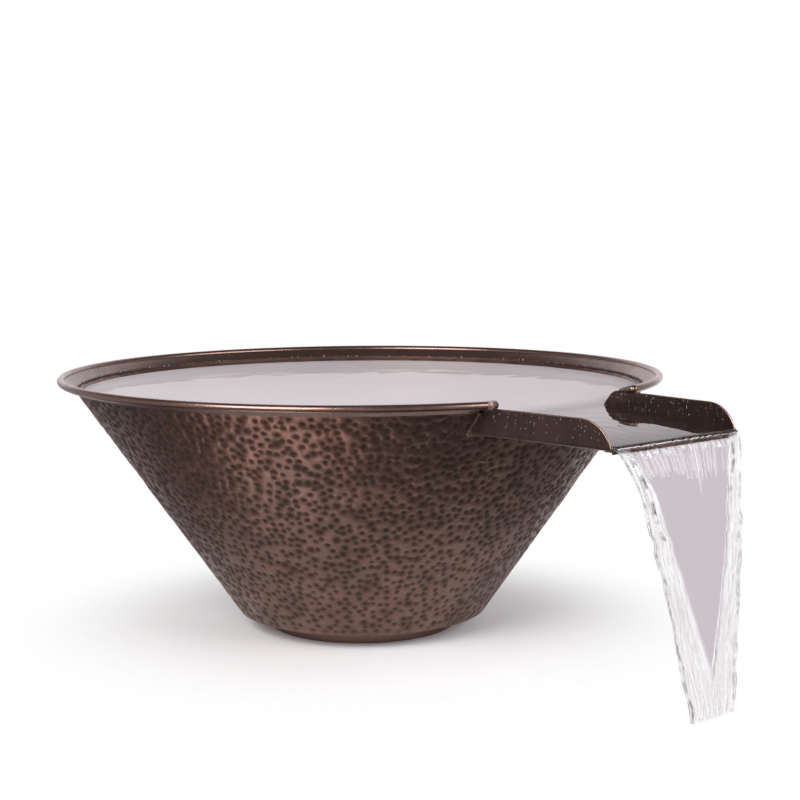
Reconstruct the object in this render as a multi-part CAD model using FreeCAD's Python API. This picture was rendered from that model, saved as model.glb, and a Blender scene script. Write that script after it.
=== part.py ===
import FreeCAD, Part
import math
import os

# A hammered copper spill bowl for a running-water fountain: a conical bowl on a foot ring, with a
# rolled rim and a folded spillway that throws a sheet of water. The bowl is fed through an inlet
# in its floor. All sizes are in millimetres.
#
# Frame: origin at the centre of the foot ring's underside, +Z up, spillway along +X. The whole
# fountain is symmetric about the XZ plane.

V = FreeCAD.Vector

# ---- driving dimensions ----
RIM_D = 610.0            # over the rolled rim
BEAD_D = 7.4             # rolled rim tube, outside
BEAD_BORE_D = 5.0        # rolled rim tube, inside
RIM_TOP = 261.0          # top of the rolled rim above the ground
SHEET = 1.5              # copper sheet of the wall, the flange and the spillway
FOOT_D = 190.0
FOOT_H = 16.2
FOOT_WALL = 3.0
BASE_D = 253.6           # outside of the wall where it meets the floor
WALL_SLOPE = 0.6915      # growth of the wall's radius per unit of height
CREASE_Z = 249.4         # where the hammered wall ends and the smooth flange begins
FLANGE_BULGE = 0.6       # how far the flange's flare bows from a straight line
FLOOR_T = 2.0

LIP_X = 411.8            # reach of the spillway from the bowl's axis
TRAY_INNER_X = 240.5     # inner end of the spillway, inside the bowl
TRAY_Z = 229.0           # underside of the spillway
LIP_HALF = 81.7          # half the outside width at the lip
FLARE = 0.077            # growth of that half width per unit of distance back from the lip
CHEEK_TOP = 253.6
CHEEK_END_ANGLE = 74.0   # how steep the cheek's rounded end is where it meets the lip, degrees
CHEEK_INNER_RUN = 20.0   # how far the cheek's inner end leans back, as the bowl's wall does
CHEEK_CORNER_R = 14.0    # rounding at the top of that leaning end
BEND_R = 3.0             # outside radius of the fold between spillway floor and cheek

DRIP_DROP = 2.6          # drip edge below the spillway's underside
DRIP_LEG = 9.0
DRIP_T = 1.0

SEAM = 2.5               # leg of the soldered fillets
FLOOR_SEAM = 4.0
FOOT_SEAM = 2.0

# Inlet: a bulkhead fitting with a G 3/4 socket and a G 1 outside thread, drawn without threads.
INLET_BORE_D = 24.12
INLET_STEM_D = 33.2
INLET_TAIL_Z = 1.0
INLET_FLANGE_AF = 46.0
INLET_FLANGE_T = 5.0
GASKET_D = 46.0
GASKET_T = 2.0
WASHER_D = 44.0
WASHER_T = 1.2
LOCKNUT_AF = 41.0
LOCKNUT_H = 9.0

# Diffuser: a plate above the inlet, so that the feed doesn't disturb the surface.
DIFFUSER_D = 120.0
DIFFUSER_T = 2.0
DIFFUSER_GAP = 28.0      # from the bowl's floor to the plate's underside
POST_D = 9.0
POST_RING_D = 92.0
POST_COUNT = 3
SCREW_D = 4.0
SCREW_LENGTH = 10.0
SCREW_HEAD_D = 7.6
SCREW_HEAD_H = 2.2
SCREW_SLOT_W = 1.0
SCREW_SLOT_DEPTH = 1.0

# Falling water, as it runs at a gentle flow.
WATER_LIP_DEPTH = 4.3    # the flow is critical at the lip, so this also sets its speed
WATER_THIN = 2.2         # sheet thickness near the ground
WATER_FOOT_Z = 2.0
WATER_SIDE_GAP = 0.3     # clear of the cheeks and of the drip edge
WATER_BOW = 0.2          # how far the sheet's rear face bows out, as a share of its throw
WATER_LIP_RUN = 6.0      # length of the film that still lies on the spillway floor
WATER_FOOT_HALF = 27.0   # half width near the ground: surface tension draws the sheet in
FALL_STEPS = (0.0, 0.15, 0.35, 0.6, 0.8, 1.0)    # share of the fall's time
WATER_WAIST = 0.44       # half way down, the share of that narrowing still to come

# ---- derived ----
BEAD_R = BEAD_D / 2
BEAD_RING_R = RIM_D / 2 - BEAD_R
BEAD_Z = RIM_TOP - BEAD_R
SHEET_ACROSS = SHEET * math.hypot(1, WALL_SLOPE)     # the wall's thickness measured level
FLOOR_TOP = FOOT_H + FLOOR_T
TRAY_FLOOR = TRAY_Z + SHEET
OVERCUT = 1.0            # how far a cutting shape runs past what it cuts
CUT_TOP = RIM_TOP + OVERCUT


def wall_outer(z):
    return BASE_D / 2 + (z - FOOT_H) * WALL_SLOPE


def wall_inner(z):
    return wall_outer(z) - SHEET_ACROSS


def cheek_outer(x):
    """Half the spillway's outside width at a distance x from the bowl's axis."""
    return LIP_HALF + (LIP_X - x) * FLARE


def turn(face):
    """A full turn of a section about the bowl's axis."""
    return face.revolve(V(0, 0, 0), V(0, 0, 1), 360)


def ring(*points):
    """A ring whose section is the polygon of the given (radius, height) points."""
    corners = [V(r, 0, z) for r, z in points]
    return turn(Part.Face(Part.makePolygon(corners + corners[:1])))


def line(a, b):
    return Part.LineSegment(a, b).toShape()


def arc(a, middle, b):
    return Part.Arc(a, middle, b).toShape()


def cylinder(diameter, height, x=0.0, y=0.0, z=0.0):
    return Part.makeCylinder(diameter / 2, height, V(x, y, z), V(0, 0, 1))


def hexagon(across_flats, height, z):
    """A hexagonal prism on the bowl's axis, with two corners on the X axis."""
    radius = across_flats / 2 / math.cos(math.pi / 6)
    turns = [math.radians(60 * i) for i in range(6)]
    points = [V(radius * math.cos(t), radius * math.sin(t), z) for t in turns]
    return Part.Face(Part.makePolygon(points + points[:1])).extrude(V(0, 0, height))


def channel(inset, bottom, back_x, front_x, bend_r):
    """A block with the spillway's plan outline, its two long lower edges rounded."""
    back = cheek_outer(back_x) - inset
    front = cheek_outer(front_x) - inset
    corners = [V(back_x, -back, bottom), V(front_x, -front, bottom),
               V(front_x, front, bottom), V(back_x, back, bottom)]
    face = Part.Face(Part.makePolygon(corners + corners[:1]))
    block = face.extrude(V(0, 0, CUT_TOP - bottom))
    long_edges = [e for e in block.Edges if is_long_lower_edge(e, bottom)]
    return block.makeFillet(bend_r, long_edges)


def is_long_lower_edge(edge, bottom):
    a, b = [v.Point for v in edge.Vertexes]
    low = max(a.z, b.z) < bottom + OVERCUT
    return low and abs(a.x - b.x) > OVERCUT


def spillway_block():
    """The spillway's outside, filled, and long enough to cut its notch in the bowl."""
    return channel(0.0, TRAY_Z, TRAY_INNER_X, LIP_X, BEND_R)


def bowl_wall():
    cone = ring((wall_inner(FOOT_H), FOOT_H), (wall_outer(FOOT_H), FOOT_H),
                (wall_outer(CREASE_Z), CREASE_Z), (wall_inner(CREASE_Z), CREASE_Z))
    return cone.cut(spillway_block())


def bowl_floor():
    disc = ring((0, FOOT_H), (wall_inner(FOOT_H), FOOT_H),
                (wall_inner(FLOOR_TOP), FLOOR_TOP), (0, FLOOR_TOP))
    return disc.cut(cylinder(INLET_STEM_D, FLOOR_TOP))


def floor_seam():
    edge = wall_inner(FLOOR_TOP)
    top = FLOOR_TOP + FLOOR_SEAM
    return ring((edge - FLOOR_SEAM, FLOOR_TOP), (edge, FLOOR_TOP), (wall_inner(top), top))


def foot_ring():
    outer = FOOT_D / 2
    inner = outer - FOOT_WALL
    return ring((inner, 0), (outer, 0), (outer, FOOT_H), (inner, FOOT_H))


def foot_seam():
    outer = FOOT_D / 2
    low = FOOT_H - FOOT_SEAM
    return ring((outer, low), (outer + FOOT_SEAM, FOOT_H), (outer, FOOT_H))


def bead_disc(diameter):
    middle = V(BEAD_RING_R, 0, BEAD_Z)
    return Part.Face(Part.Wire(Part.makeCircle(diameter / 2, middle, V(0, 1, 0))))


def flange_section():
    """Section of the smooth flared band, from the crease to the rolled rim that it ends in."""
    end = V(BEAD_RING_R, 0, BEAD_Z)
    start_in = V(wall_inner(CREASE_Z), 0, CREASE_Z)
    start_out = V(wall_outer(CREASE_Z), 0, CREASE_Z)
    along = (end - start_out).normalize()
    across = V(-along.z, 0, along.x)
    end_in = end + across * SHEET
    middle_in = (start_in + end_in) * 0.5 + across * FLANGE_BULGE
    middle_out = (start_out + end) * 0.5 + across * FLANGE_BULGE
    band = Part.Face(Part.Wire([arc(start_in, middle_in, end_in), line(end_in, end),
                                arc(end, middle_out, start_out), line(start_out, start_in)]))
    return band.cut(bead_disc(BEAD_D)).Faces[0]


def rim_flange():
    return turn(flange_section()).cut(spillway_block())


def rim_bead():
    """The rolled rim: a tube round the flange's edge, open where the spillway leaves."""
    section = bead_disc(BEAD_D).cut(bead_disc(BEAD_BORE_D)).Faces[0]
    return turn(section).cut(spillway_block()).Solids[0]


def rim_seam():
    """Solder along the inside of the crease between wall and flange."""
    low = CREASE_Z - SEAM
    crease = wall_inner(CREASE_Z)
    bead = ring((wall_inner(low), low), (crease, CREASE_Z), (crease - SEAM / 2, CREASE_Z))
    return bead.cut(spillway_block())


def rim_end_point(side):
    """Where the rolled rim's centre line meets a cheek."""
    x = BEAD_RING_R
    for _ in range(20):
        x = math.sqrt(BEAD_RING_R ** 2 - cheek_outer(x) ** 2)
    return V(x, side * cheek_outer(x), BEAD_Z)


def rim_end_caps():
    """A dome of solder that closes each cut end of the rolled rim."""
    notch = spillway_block()
    balls = [Part.makeSphere(BEAD_R, rim_end_point(side)) for side in (-1, 1)]
    return Part.makeCompound([ball.common(notch).Solids[0] for ball in balls])


def cheek_side_view():
    """The spillway seen from the side: a leaning inner end, a level top, a rounded front."""
    angle = math.radians(CHEEK_END_ANGLE)
    height = CHEEK_TOP - TRAY_FLOOR
    radius = height / (1 - math.cos(angle))
    top_end_x = LIP_X - radius * math.sin(angle)
    half = angle / 2
    middle = V(top_end_x + radius * math.sin(half), 0, CHEEK_TOP - radius * (1 - math.cos(half)))
    inner_low = V(TRAY_INNER_X, 0, TRAY_Z)
    inner_mid = V(TRAY_INNER_X, 0, TRAY_FLOOR)
    corner = V(TRAY_INNER_X + CHEEK_INNER_RUN, 0, CHEEK_TOP)
    lean = (corner - inner_mid).normalize()
    level = V(1, 0, 0)
    half_turn = lean.getAngle(level) / 2
    corner_start = corner - lean * (CHEEK_CORNER_R * math.tan(half_turn))
    corner_end = corner + level * (CHEEK_CORNER_R * math.tan(half_turn))
    inward = (level - lean).normalize()
    corner_middle = corner + inward * (CHEEK_CORNER_R / math.cos(half_turn) - CHEEK_CORNER_R)
    top_end = V(top_end_x, 0, CHEEK_TOP)
    lip_top = V(LIP_X, 0, TRAY_FLOOR)
    lip_low = V(LIP_X, 0, TRAY_Z)
    wire = Part.Wire([line(inner_low, inner_mid), line(inner_mid, corner_start),
                      arc(corner_start, corner_middle, corner_end),
                      line(corner_end, top_end), arc(top_end, middle, lip_top),
                      line(lip_top, lip_low), line(lip_low, inner_low)])
    width = 2 * (cheek_outer(TRAY_INNER_X) + OVERCUT)
    face = Part.Face(wire)
    face.translate(V(0, -width / 2, 0))
    return face.extrude(V(0, width, 0))


def spillway_tray():
    """One folded sheet: the spillway's floor and its two cheeks."""
    inside = channel(SHEET, TRAY_FLOOR, TRAY_INNER_X - OVERCUT, LIP_X + OVERCUT, BEND_R - SHEET)
    return spillway_block().cut(inside).common(cheek_side_view())


def drip_edge():
    """An angle strip under the lip: it stiffens the lip and lets the water break away cleanly."""
    half = LIP_HALF - BEND_R
    back = LIP_X - DRIP_LEG
    leg = Part.makeBox(DRIP_LEG, 2 * half, DRIP_T, V(back, -half, TRAY_Z - DRIP_T))
    drop = Part.makeBox(DRIP_T, 2 * half, DRIP_DROP, V(LIP_X - DRIP_T, -half, TRAY_Z - DRIP_DROP))
    return leg.fuse(drop).removeSplitter()


def spillway_seams():
    """Solder round the outside of the joint between the bowl's wall and the spillway."""
    low = TRAY_Z - 2 * SEAM
    high = CREASE_Z
    skin = ring((wall_outer(low), low), (wall_outer(low) + SEAM, low),
                (wall_outer(high) + SEAM, high), (wall_outer(high), high))
    sleeve = channel(-SEAM, TRAY_Z - SEAM, TRAY_INNER_X, LIP_X, BEND_R + SEAM)
    return skin.common(sleeve).cut(spillway_block())


def inlet_bulkhead():
    flange_z = FLOOR_TOP + GASKET_T
    body = hexagon(INLET_FLANGE_AF, INLET_FLANGE_T, flange_z)
    stem = cylinder(INLET_STEM_D, flange_z - INLET_TAIL_Z, z=INLET_TAIL_Z)
    bore = cylinder(INLET_BORE_D, 2 * flange_z)
    return body.fuse(stem).removeSplitter().cut(bore)


def washer(outside_d, thickness, z):
    return cylinder(outside_d, thickness, z=z).cut(cylinder(INLET_STEM_D, thickness, z=z))


def inlet_gasket():
    return washer(GASKET_D, GASKET_T, FLOOR_TOP)


def inlet_washer():
    return washer(WASHER_D, WASHER_T, FOOT_H - WASHER_T)


def inlet_locknut():
    low = FOOT_H - WASHER_T - LOCKNUT_H
    nut = hexagon(LOCKNUT_AF, LOCKNUT_H, low)
    return nut.cut(cylinder(INLET_STEM_D, LOCKNUT_H, z=low))


def post_places():
    """Plan positions of the diffuser's posts."""
    turns = [2 * math.pi * i / POST_COUNT for i in range(POST_COUNT)]
    radius = POST_RING_D / 2
    return [(radius * math.cos(t), radius * math.sin(t)) for t in turns]


def screw_hole(x, y, top):
    return cylinder(SCREW_D, SCREW_LENGTH, x, y, top - SCREW_LENGTH)


def diffuser_plate():
    low = FLOOR_TOP + DIFFUSER_GAP
    plate = cylinder(DIFFUSER_D, DIFFUSER_T, z=low)
    for x, y in post_places():
        plate = plate.cut(screw_hole(x, y, low + DIFFUSER_T))
    return plate


def diffuser_posts():
    plate_top = FLOOR_TOP + DIFFUSER_GAP + DIFFUSER_T
    posts = []
    for x, y in post_places():
        post = cylinder(POST_D, DIFFUSER_GAP, x, y, FLOOR_TOP)
        posts.append(post.cut(screw_hole(x, y, plate_top)))
    return Part.makeCompound(posts)


def diffuser_screws():
    plate_top = FLOOR_TOP + DIFFUSER_GAP + DIFFUSER_T
    screws = []
    for x, y in post_places():
        shank = screw_hole(x, y, plate_top)
        head = cylinder(SCREW_HEAD_D, SCREW_HEAD_H, x, y, plate_top)
        slot_z = plate_top + SCREW_HEAD_H - SCREW_SLOT_DEPTH
        slot = Part.makeBox(SCREW_HEAD_D, SCREW_SLOT_W, SCREW_SLOT_DEPTH,
                            V(x - SCREW_HEAD_D / 2, y - SCREW_SLOT_W / 2, slot_z))
        screws.append(head.fuse(shank).removeSplitter().cut(slot))
    return Part.makeCompound(screws)


def thrown(drop):
    """How far past the lip the water is after falling by a given drop."""
    return math.sqrt(2 * WATER_LIP_DEPTH * drop)


def falling_water():
    """The sheet of water from the last of the spillway's floor down to the ground."""
    water_top = TRAY_FLOOR + WATER_LIP_DEPTH
    drop = water_top - WATER_FOOT_Z
    outer = [V(LIP_X + thrown(drop * s * s), 0, water_top - drop * s * s)
             for s in FALL_STEPS]
    foot_in = V(outer[-1].x - WATER_THIN, 0, WATER_FOOT_Z)
    edge_in = V(LIP_X + WATER_SIDE_GAP, 0, TRAY_FLOOR)
    under_in = V(LIP_X + WATER_SIDE_GAP, 0, TRAY_Z - DRIP_DROP)
    middle_in = (under_in + foot_in) * 0.5 + V(thrown(drop) * WATER_BOW, 0, 0)
    back_low = V(LIP_X - WATER_LIP_RUN, 0, TRAY_FLOOR)
    back_top = V(LIP_X - WATER_LIP_RUN, 0, water_top)
    front = Part.BSplineCurve()
    front.interpolate(outer)
    wire = Part.Wire([line(back_low, back_top), line(back_top, outer[0]), front.toShape(),
                      line(outer[-1], foot_in), arc(foot_in, middle_in, under_in),
                      line(under_in, edge_in), line(edge_in, back_low)])
    half = LIP_HALF - BEND_R - WATER_SIDE_GAP
    face = Part.Face(wire)
    face.translate(V(0, -half, 0))
    side_view = face.extrude(V(0, 2 * half, 0))
    return side_view.common(narrowing_outline(half, water_top))


def narrowing_outline(half, top):
    """The falling sheet seen from the front: full width at the lip, drawn in towards the ground."""
    x0 = LIP_X - 2 * WATER_LIP_RUN
    low = WATER_FOOT_Z
    shoulder = TRAY_Z - DRIP_DROP
    waist_z = (shoulder + low) / 2
    waist = WATER_FOOT_HALF + (half - WATER_FOOT_HALF) * WATER_WAIST
    edges = [line(V(x0, half, top), V(x0, -half, top)),
             line(V(x0, -half, top), V(x0, -half, shoulder)),
             arc(V(x0, -half, shoulder), V(x0, -waist, waist_z), V(x0, -WATER_FOOT_HALF, low)),
             line(V(x0, -WATER_FOOT_HALF, low), V(x0, WATER_FOOT_HALF, low)),
             arc(V(x0, WATER_FOOT_HALF, low), V(x0, waist, waist_z), V(x0, half, shoulder)),
             line(V(x0, half, shoulder), V(x0, half, top))]
    return Part.Face(Part.Wire(edges)).extrude(V(LIP_X - x0 + 2 * thrown(top), 0, 0))


NODES = [bowl_wall, bowl_floor, floor_seam, foot_ring, foot_seam,
         rim_flange, rim_bead, rim_seam, rim_end_caps,
         spillway_tray, drip_edge, spillway_seams,
         inlet_bulkhead, inlet_gasket, inlet_washer, inlet_locknut,
         diffuser_plate, diffuser_posts, diffuser_screws, falling_water]


def main():
    os.makedirs("parts", exist_ok=True)
    for make in NODES:
        shape = make()
        if not shape.isValid():
            raise RuntimeError(make.__name__ + " is not a valid shape")
        shape.exportStep("parts/" + make.__name__ + ".step")
        print(make.__name__, len(shape.Solids), "solid(s),", round(shape.Volume / 1000, 2), "cm3")


main()
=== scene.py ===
import math

import bmesh
import bpy
import numpy as np
from mathutils import Matrix, Vector, kdtree
from mathutils.geometry import delaunay_2d_cdt


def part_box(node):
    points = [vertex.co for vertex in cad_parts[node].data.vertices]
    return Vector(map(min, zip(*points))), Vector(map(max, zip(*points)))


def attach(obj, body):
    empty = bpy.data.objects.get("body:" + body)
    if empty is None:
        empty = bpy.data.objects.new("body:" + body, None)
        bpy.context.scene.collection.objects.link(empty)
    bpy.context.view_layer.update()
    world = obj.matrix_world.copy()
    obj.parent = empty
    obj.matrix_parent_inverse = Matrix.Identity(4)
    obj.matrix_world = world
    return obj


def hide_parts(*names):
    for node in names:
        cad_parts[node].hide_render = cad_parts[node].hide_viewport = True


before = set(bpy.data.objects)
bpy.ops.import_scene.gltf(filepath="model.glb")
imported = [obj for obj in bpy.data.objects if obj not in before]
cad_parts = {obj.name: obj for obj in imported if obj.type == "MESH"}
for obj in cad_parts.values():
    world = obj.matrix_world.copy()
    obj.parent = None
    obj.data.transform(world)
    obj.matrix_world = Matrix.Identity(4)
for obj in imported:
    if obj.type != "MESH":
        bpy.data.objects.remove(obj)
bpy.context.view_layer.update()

# Looks of a hammered copper spill bowl full of running water. Metres, in the CAD frame: the
# origin is under the middle of the foot ring, +Z is up and the spillway runs along +X.

MM = 0.001
random = np.random.default_rng(41)


def corners(node):
    """Every corner of a CAD node's mesh."""
    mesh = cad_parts[node].data
    flat = np.empty(3 * len(mesh.vertices))
    mesh.vertices.foreach_get("co", flat)
    return flat.reshape(-1, 3)


# ---- sizes taken from the CAD ----
SHEET = 1.5 * MM  # thickness of the copper
FLARE = 0.077  # growth of the spillway's half width back from the lip
wall = corners("bowl_wall")
wall_r = np.hypot(wall[:, 0], wall[:, 1])
WALL_LOW = wall[:, 2].min()
WALL_HIGH = wall[:, 2].max()  # the crease, where the smooth flange begins
R_LOW = wall_r[wall[:, 2] < WALL_LOW + 1e-5].max()
R_HIGH = wall_r[wall[:, 2] > WALL_HIGH - 1e-5].max()
SLOPE = (R_HIGH - R_LOW) / (WALL_HIGH - WALL_LOW)
LEVEL_THICK = SHEET * math.hypot(1, SLOPE)
SIN = SLOPE / math.hypot(1, SLOPE)  # of the cone's half angle
COS = 1 / math.hypot(1, SLOPE)
APEX_Z = WALL_LOW - R_LOW / SLOPE
FLOOR_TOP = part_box("bowl_floor")[1][2]
(TRAY_BACK_X, _, TRAY_LOW), (LIP_X, _, _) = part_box("spillway_tray")
TRAY_FLOOR = TRAY_LOW + SHEET
tray = corners("spillway_tray")
LIP_HALF = (np.abs(tray[:, 1]) - (LIP_X - tray[:, 0]) * FLARE).max()


def wall_outer(z):
    return R_LOW + (z - WALL_LOW) * SLOPE


def wall_inner(z):
    return wall_outer(z) - LEVEL_THICK


def cheek_outer(x):
    """Half the spillway's outside width at a distance x from the bowl's axis."""
    return LIP_HALF + (LIP_X - x) * FLARE


def smooth(low, high, value):
    """0 at low and 1 at high, with an easy start and end; low may be the larger."""
    t = np.clip((value - low) / (high - low), 0, 1)
    return t * t * (3 - 2 * t)


# ---- mesh helpers ----
def piece(name, points, faces, paints, slot, stands_for=(), angle=40, part_paint=None):
    """A mesh in the CAD frame that rides on the part's one body."""
    mesh = bpy.data.meshes.new(name)
    mesh.from_pydata([tuple(p) for p in points], [], faces)
    for paint in paints:
        mesh.materials.append(paint)
    if part_paint is not None:
        mesh.polygons.foreach_set("material_index", part_paint)
    mesh.validate()
    mesh.shade_smooth()
    mesh.set_sharp_from_angle(angle=math.radians(angle))
    obj = bpy.data.objects.new(name, mesh)
    bpy.context.scene.collection.objects.link(obj)
    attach(obj, "root")
    if stands_for:
        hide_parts(*stands_for)
    return obj


def store(obj, name, values):
    """Keeps one number per point for the materials to read."""
    attribute = obj.data.attributes.new(name, "FLOAT", "POINT")
    attribute.data.foreach_set("value", np.asarray(values, dtype=np.float32))


def face_outwards(obj, weld_behind=False):
    """Turns a closed mesh's faces outwards, once its edges on the plane behind the bowl are joined."""
    work = bmesh.new()
    work.from_mesh(obj.data)
    if weld_behind:
        seam = [v for v in work.verts if v.co.x < 0 and abs(v.co.y) < 1e-6]
        bmesh.ops.remove_doubles(work, verts=seam, dist=2e-6)
    bmesh.ops.recalc_face_normals(work, faces=work.faces)
    work.to_mesh(obj.data)
    work.free()


def grid_faces(index):
    """Quads over a 2-D array of point numbers."""
    a, b, c, d = index[:-1, :-1], index[1:, :-1], index[1:, 1:], index[:-1, 1:]
    return np.stack([a, b, c, d], axis=-1).reshape(-1, 4).tolist()


def strip(first, second):
    """Quads between two rows of point numbers."""
    return grid_faces(np.stack([first, second]))


def backwards(faces):
    return [face[::-1] for face in faces]


def all_round(index):
    """The same rows of point numbers, each closed by its first."""
    return np.concatenate([index, index[:, :1]], axis=1)


def fan(centre, row):
    """Triangles from one point to each step of a closed row."""
    return [[centre, a, b] for a, b in zip(row.tolist(), np.roll(row, -1).tolist())]


def shell(index, first, last):
    """Faces over closed rows of point numbers, with one point at either end."""
    return grid_faces(all_round(index)) + fan(first, index[0]) + backwards(fan(last, index[-1]))


class Waves:
    """A smooth field made of sine waves with random directions."""

    def __init__(self, seed, count, short, long):
        pick = np.random.default_rng(seed)
        turn = pick.uniform(0, 2 * math.pi, count)
        length = np.exp(pick.uniform(math.log(short), math.log(long), count))
        self.kx = np.cos(turn) * 2 * math.pi / length
        self.ky = np.sin(turn) * 2 * math.pi / length
        self.phase = pick.uniform(0, 2 * math.pi, count)
        self.share = math.sqrt(2 / count)

    def __call__(self, x, y):
        x, y = np.asarray(x)[..., None], np.asarray(y)[..., None]
        return np.sin(x * self.kx + y * self.ky + self.phase).sum(axis=-1) * self.share


# ---- materials ----
class Nodes:
    """Adds nodes to one node tree."""

    def __init__(self, tree):
        tree.nodes.clear()
        self.tree = tree

    def node(self, kind, **values):
        """A new node with its settings and inputs; i0, i1 and so on are inputs by number."""
        made = self.tree.nodes.new(kind)
        for key, value in values.items():
            self.set(made, key, value)
        return made

    def set(self, node, key, value):
        linked = isinstance(value, bpy.types.NodeSocket)
        if hasattr(node, key) and not linked:
            setattr(node, key, value)
            return
        by_number = key[0] == "i" and key[1:].isdigit()
        socket = node.inputs[int(key[1:]) if by_number else key.replace("_", " ")]
        if linked:
            self.tree.links.new(value, socket)
        else:
            socket.default_value = value

    def math(self, kind, a, b=0.0):
        return self.node("ShaderNodeMath", operation=kind, i0=a, i1=b).outputs[0]

    def times(self, a, b):
        return self.math("MULTIPLY", a, b)

    def split(self, vector):
        return self.node("ShaderNodeSeparateXYZ", Vector=vector).outputs

    def join(self, x, y, z=0.0):
        return self.node("ShaderNodeCombineXYZ", X=x, Y=y, Z=z).outputs["Vector"]

    def distance(self, x, y):
        return self.math("SQRT", self.math("ADD", self.times(x, x), self.times(y, y)))

    def span(self, value, low, high, to_low=0.0, to_high=1.0, shape="LINEAR"):
        made = self.node("ShaderNodeMapRange", interpolation_type=shape, Value=value, From_Min=low,
                         From_Max=high, To_Min=to_low, To_Max=to_high)
        return made.outputs["Result"]

    def mix(self, factor, a, b):
        """A colour between a and b, each a socket or three numbers."""
        a, b = [c if isinstance(c, bpy.types.NodeSocket) else (*c, 1) for c in (a, b)]
        return self.node("ShaderNodeMix", data_type="RGBA", i0=factor, i6=a, i7=b).outputs[2]


class Paint(Nodes):
    """Builds one material."""

    def __init__(self, name):
        self.material = bpy.data.materials.new(name)
        self.material.use_nodes = True
        super().__init__(self.material.node_tree)
        self.place = self.node("ShaderNodeTexCoord").outputs["Object"]

    def noise(self, scale, detail=3.0, rough=0.5, vector=None):
        made = self.node("ShaderNodeTexNoise", Scale=scale, Detail=detail, Roughness=rough,
                         Vector=vector or self.place)
        return made.outputs["Fac"]

    def cells(self, scale):
        return self.node("ShaderNodeTexVoronoi", Scale=scale, Vector=self.place).outputs["Distance"]

    def bump(self, height, distance, strength=1.0, under=None):
        made = self.node("ShaderNodeBump", Height=height, Distance=distance, Strength=strength)
        if under is not None:
            self.set(made, "Normal", under)
        return made.outputs["Normal"]

    def attribute(self, name):
        return self.node("ShaderNodeAttribute", attribute_name=name).outputs["Fac"]

    def round_the_axis(self, across, along):
        """Coordinates round the bowl's axis with no seam: fine across, long along the height."""
        x, y, z = self.split(self.place)
        r = self.distance(x, y)
        return self.join(self.times(self.math("DIVIDE", x, r), across),
                         self.times(self.math("DIVIDE", y, r), across), self.times(z, along))

    def flow(self, across, along):
        """Coordinates that follow the falling water: across the sheet, and how far it has dropped."""
        return self.join(self.times(self.attribute("share"), across),
                         self.times(self.attribute("drop"), along))

    def shader(self, **values):
        return self.node("ShaderNodeBsdfPrincipled", **values).outputs[0]

    def matt(self, colour):
        return self.node("ShaderNodeBsdfDiffuse", Color=colour).outputs[0]

    def blend(self, factor, low, high):
        return self.node("ShaderNodeMixShader", i0=factor, i1=low, i2=high).outputs[0]

    def close(self, shader):
        self.node("ShaderNodeOutputMaterial", Surface=shader)
        return self.material

    def finish(self, **values):
        return self.close(self.shader(**values))


LAND = (0.155, 0.096, 0.078)  # oiled, darkened copper
LAND_RED = (0.215, 0.118, 0.094)
LAND_DARK = (0.088, 0.058, 0.048)
LAND_STREAK = (0.15, 0.09, 0.075)
LAND_WORN = (0.26, 0.155, 0.13)
PATINA = (0.046, 0.039, 0.027)
PATINA_RED = (0.068, 0.037, 0.027)


def hammered_copper():
    """Copper whose hammer marks hold a dark patina."""
    p = Paint("hammered_copper")
    land = p.mix(p.span(p.noise(9.0, 4.0, 0.55), 0.35, 0.68), LAND, LAND_RED)
    land = p.mix(p.span(p.noise(14.0, 5.0, 0.62), 0.47, 0.66, 0.0, 0.55), land, LAND_DARK)
    streak = p.noise(1.0, 4.0, 0.6, p.round_the_axis(60.0, 14.0))
    land = p.mix(p.span(streak, 0.42, 0.75, 0.0, 0.22), land, LAND_STREAK)
    land = p.mix(p.span(p.noise(150.0, 3.0, 0.6), 0.45, 0.75, 0.0, 0.30), land, LAND_WORN)
    dark = p.mix(p.span(p.noise(38.0, 2.0), 0.42, 0.6), PATINA, PATINA_RED)
    fray = p.times(p.math("SUBTRACT", p.noise(420.0, 2.0), 0.5), 0.30)
    amount = p.span(p.math("ADD", p.attribute("pit"), fray), 0.05, 1.0, 0.0, 0.92)
    rough = p.math("ADD", p.span(p.noise(60.0, 3.0), 0.3, 0.7, 0.33, 0.45), p.times(amount, 0.25))
    normal = p.bump(p.noise(900.0, 3.0, 0.6), 0.00012, 0.6)
    normal = p.bump(p.noise(130.0, 2.0), 0.0006, 0.5, normal)
    return p.finish(Base_Color=p.mix(amount, land, dark), Metallic=0.92, Roughness=rough, Normal=normal,
                    Coat_Weight=p.span(amount, 0.1, 0.6, 0.13, 0.0), Coat_Roughness=0.28, Coat_IOR=1.45)


def lacquered(p, colour, rough, lumps, coat):
    """Copper under a coat. rough is its two roughnesses; lumps are the scale, depth and strength."""
    finish = p.span(p.noise(45.0, 4.0, 0.6), 0.3, 0.7, *rough)
    normal = p.bump(p.noise(700.0, 3.0, 0.6), 0.00010, 0.5)
    normal = p.bump(p.noise(lumps[0]), lumps[1], lumps[2], normal)
    return p.finish(Base_Color=colour, Metallic=0.92, Roughness=finish, Normal=normal,
                    Coat_Weight=coat, Coat_Roughness=0.22, Coat_IOR=1.45)


def smooth_copper(name, land, red, streaks=0.5, rough=(0.27, 0.40), coat=0.3):
    p = Paint(name)
    streak = p.noise(1.0, 5.0, 0.62, p.round_the_axis(70.0, 9.0))
    colour = p.mix(p.span(p.noise(17.0, 4.0, 0.6), 0.35, 0.7), land, red)
    colour = p.mix(p.span(streak, 0.40, 0.70, 0.0, streaks), colour, (0.060, 0.036, 0.030))
    specks = p.span(p.cells(330.0), 0.05, 0.22, 0.5, 0.0)
    colour = p.mix(p.times(specks, p.span(p.noise(25.0), 0.5, 0.65)), colour, (0.32, 0.18, 0.14))
    return lacquered(p, colour, rough, (85.0, 0.0007, 0.35), coat)


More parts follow.
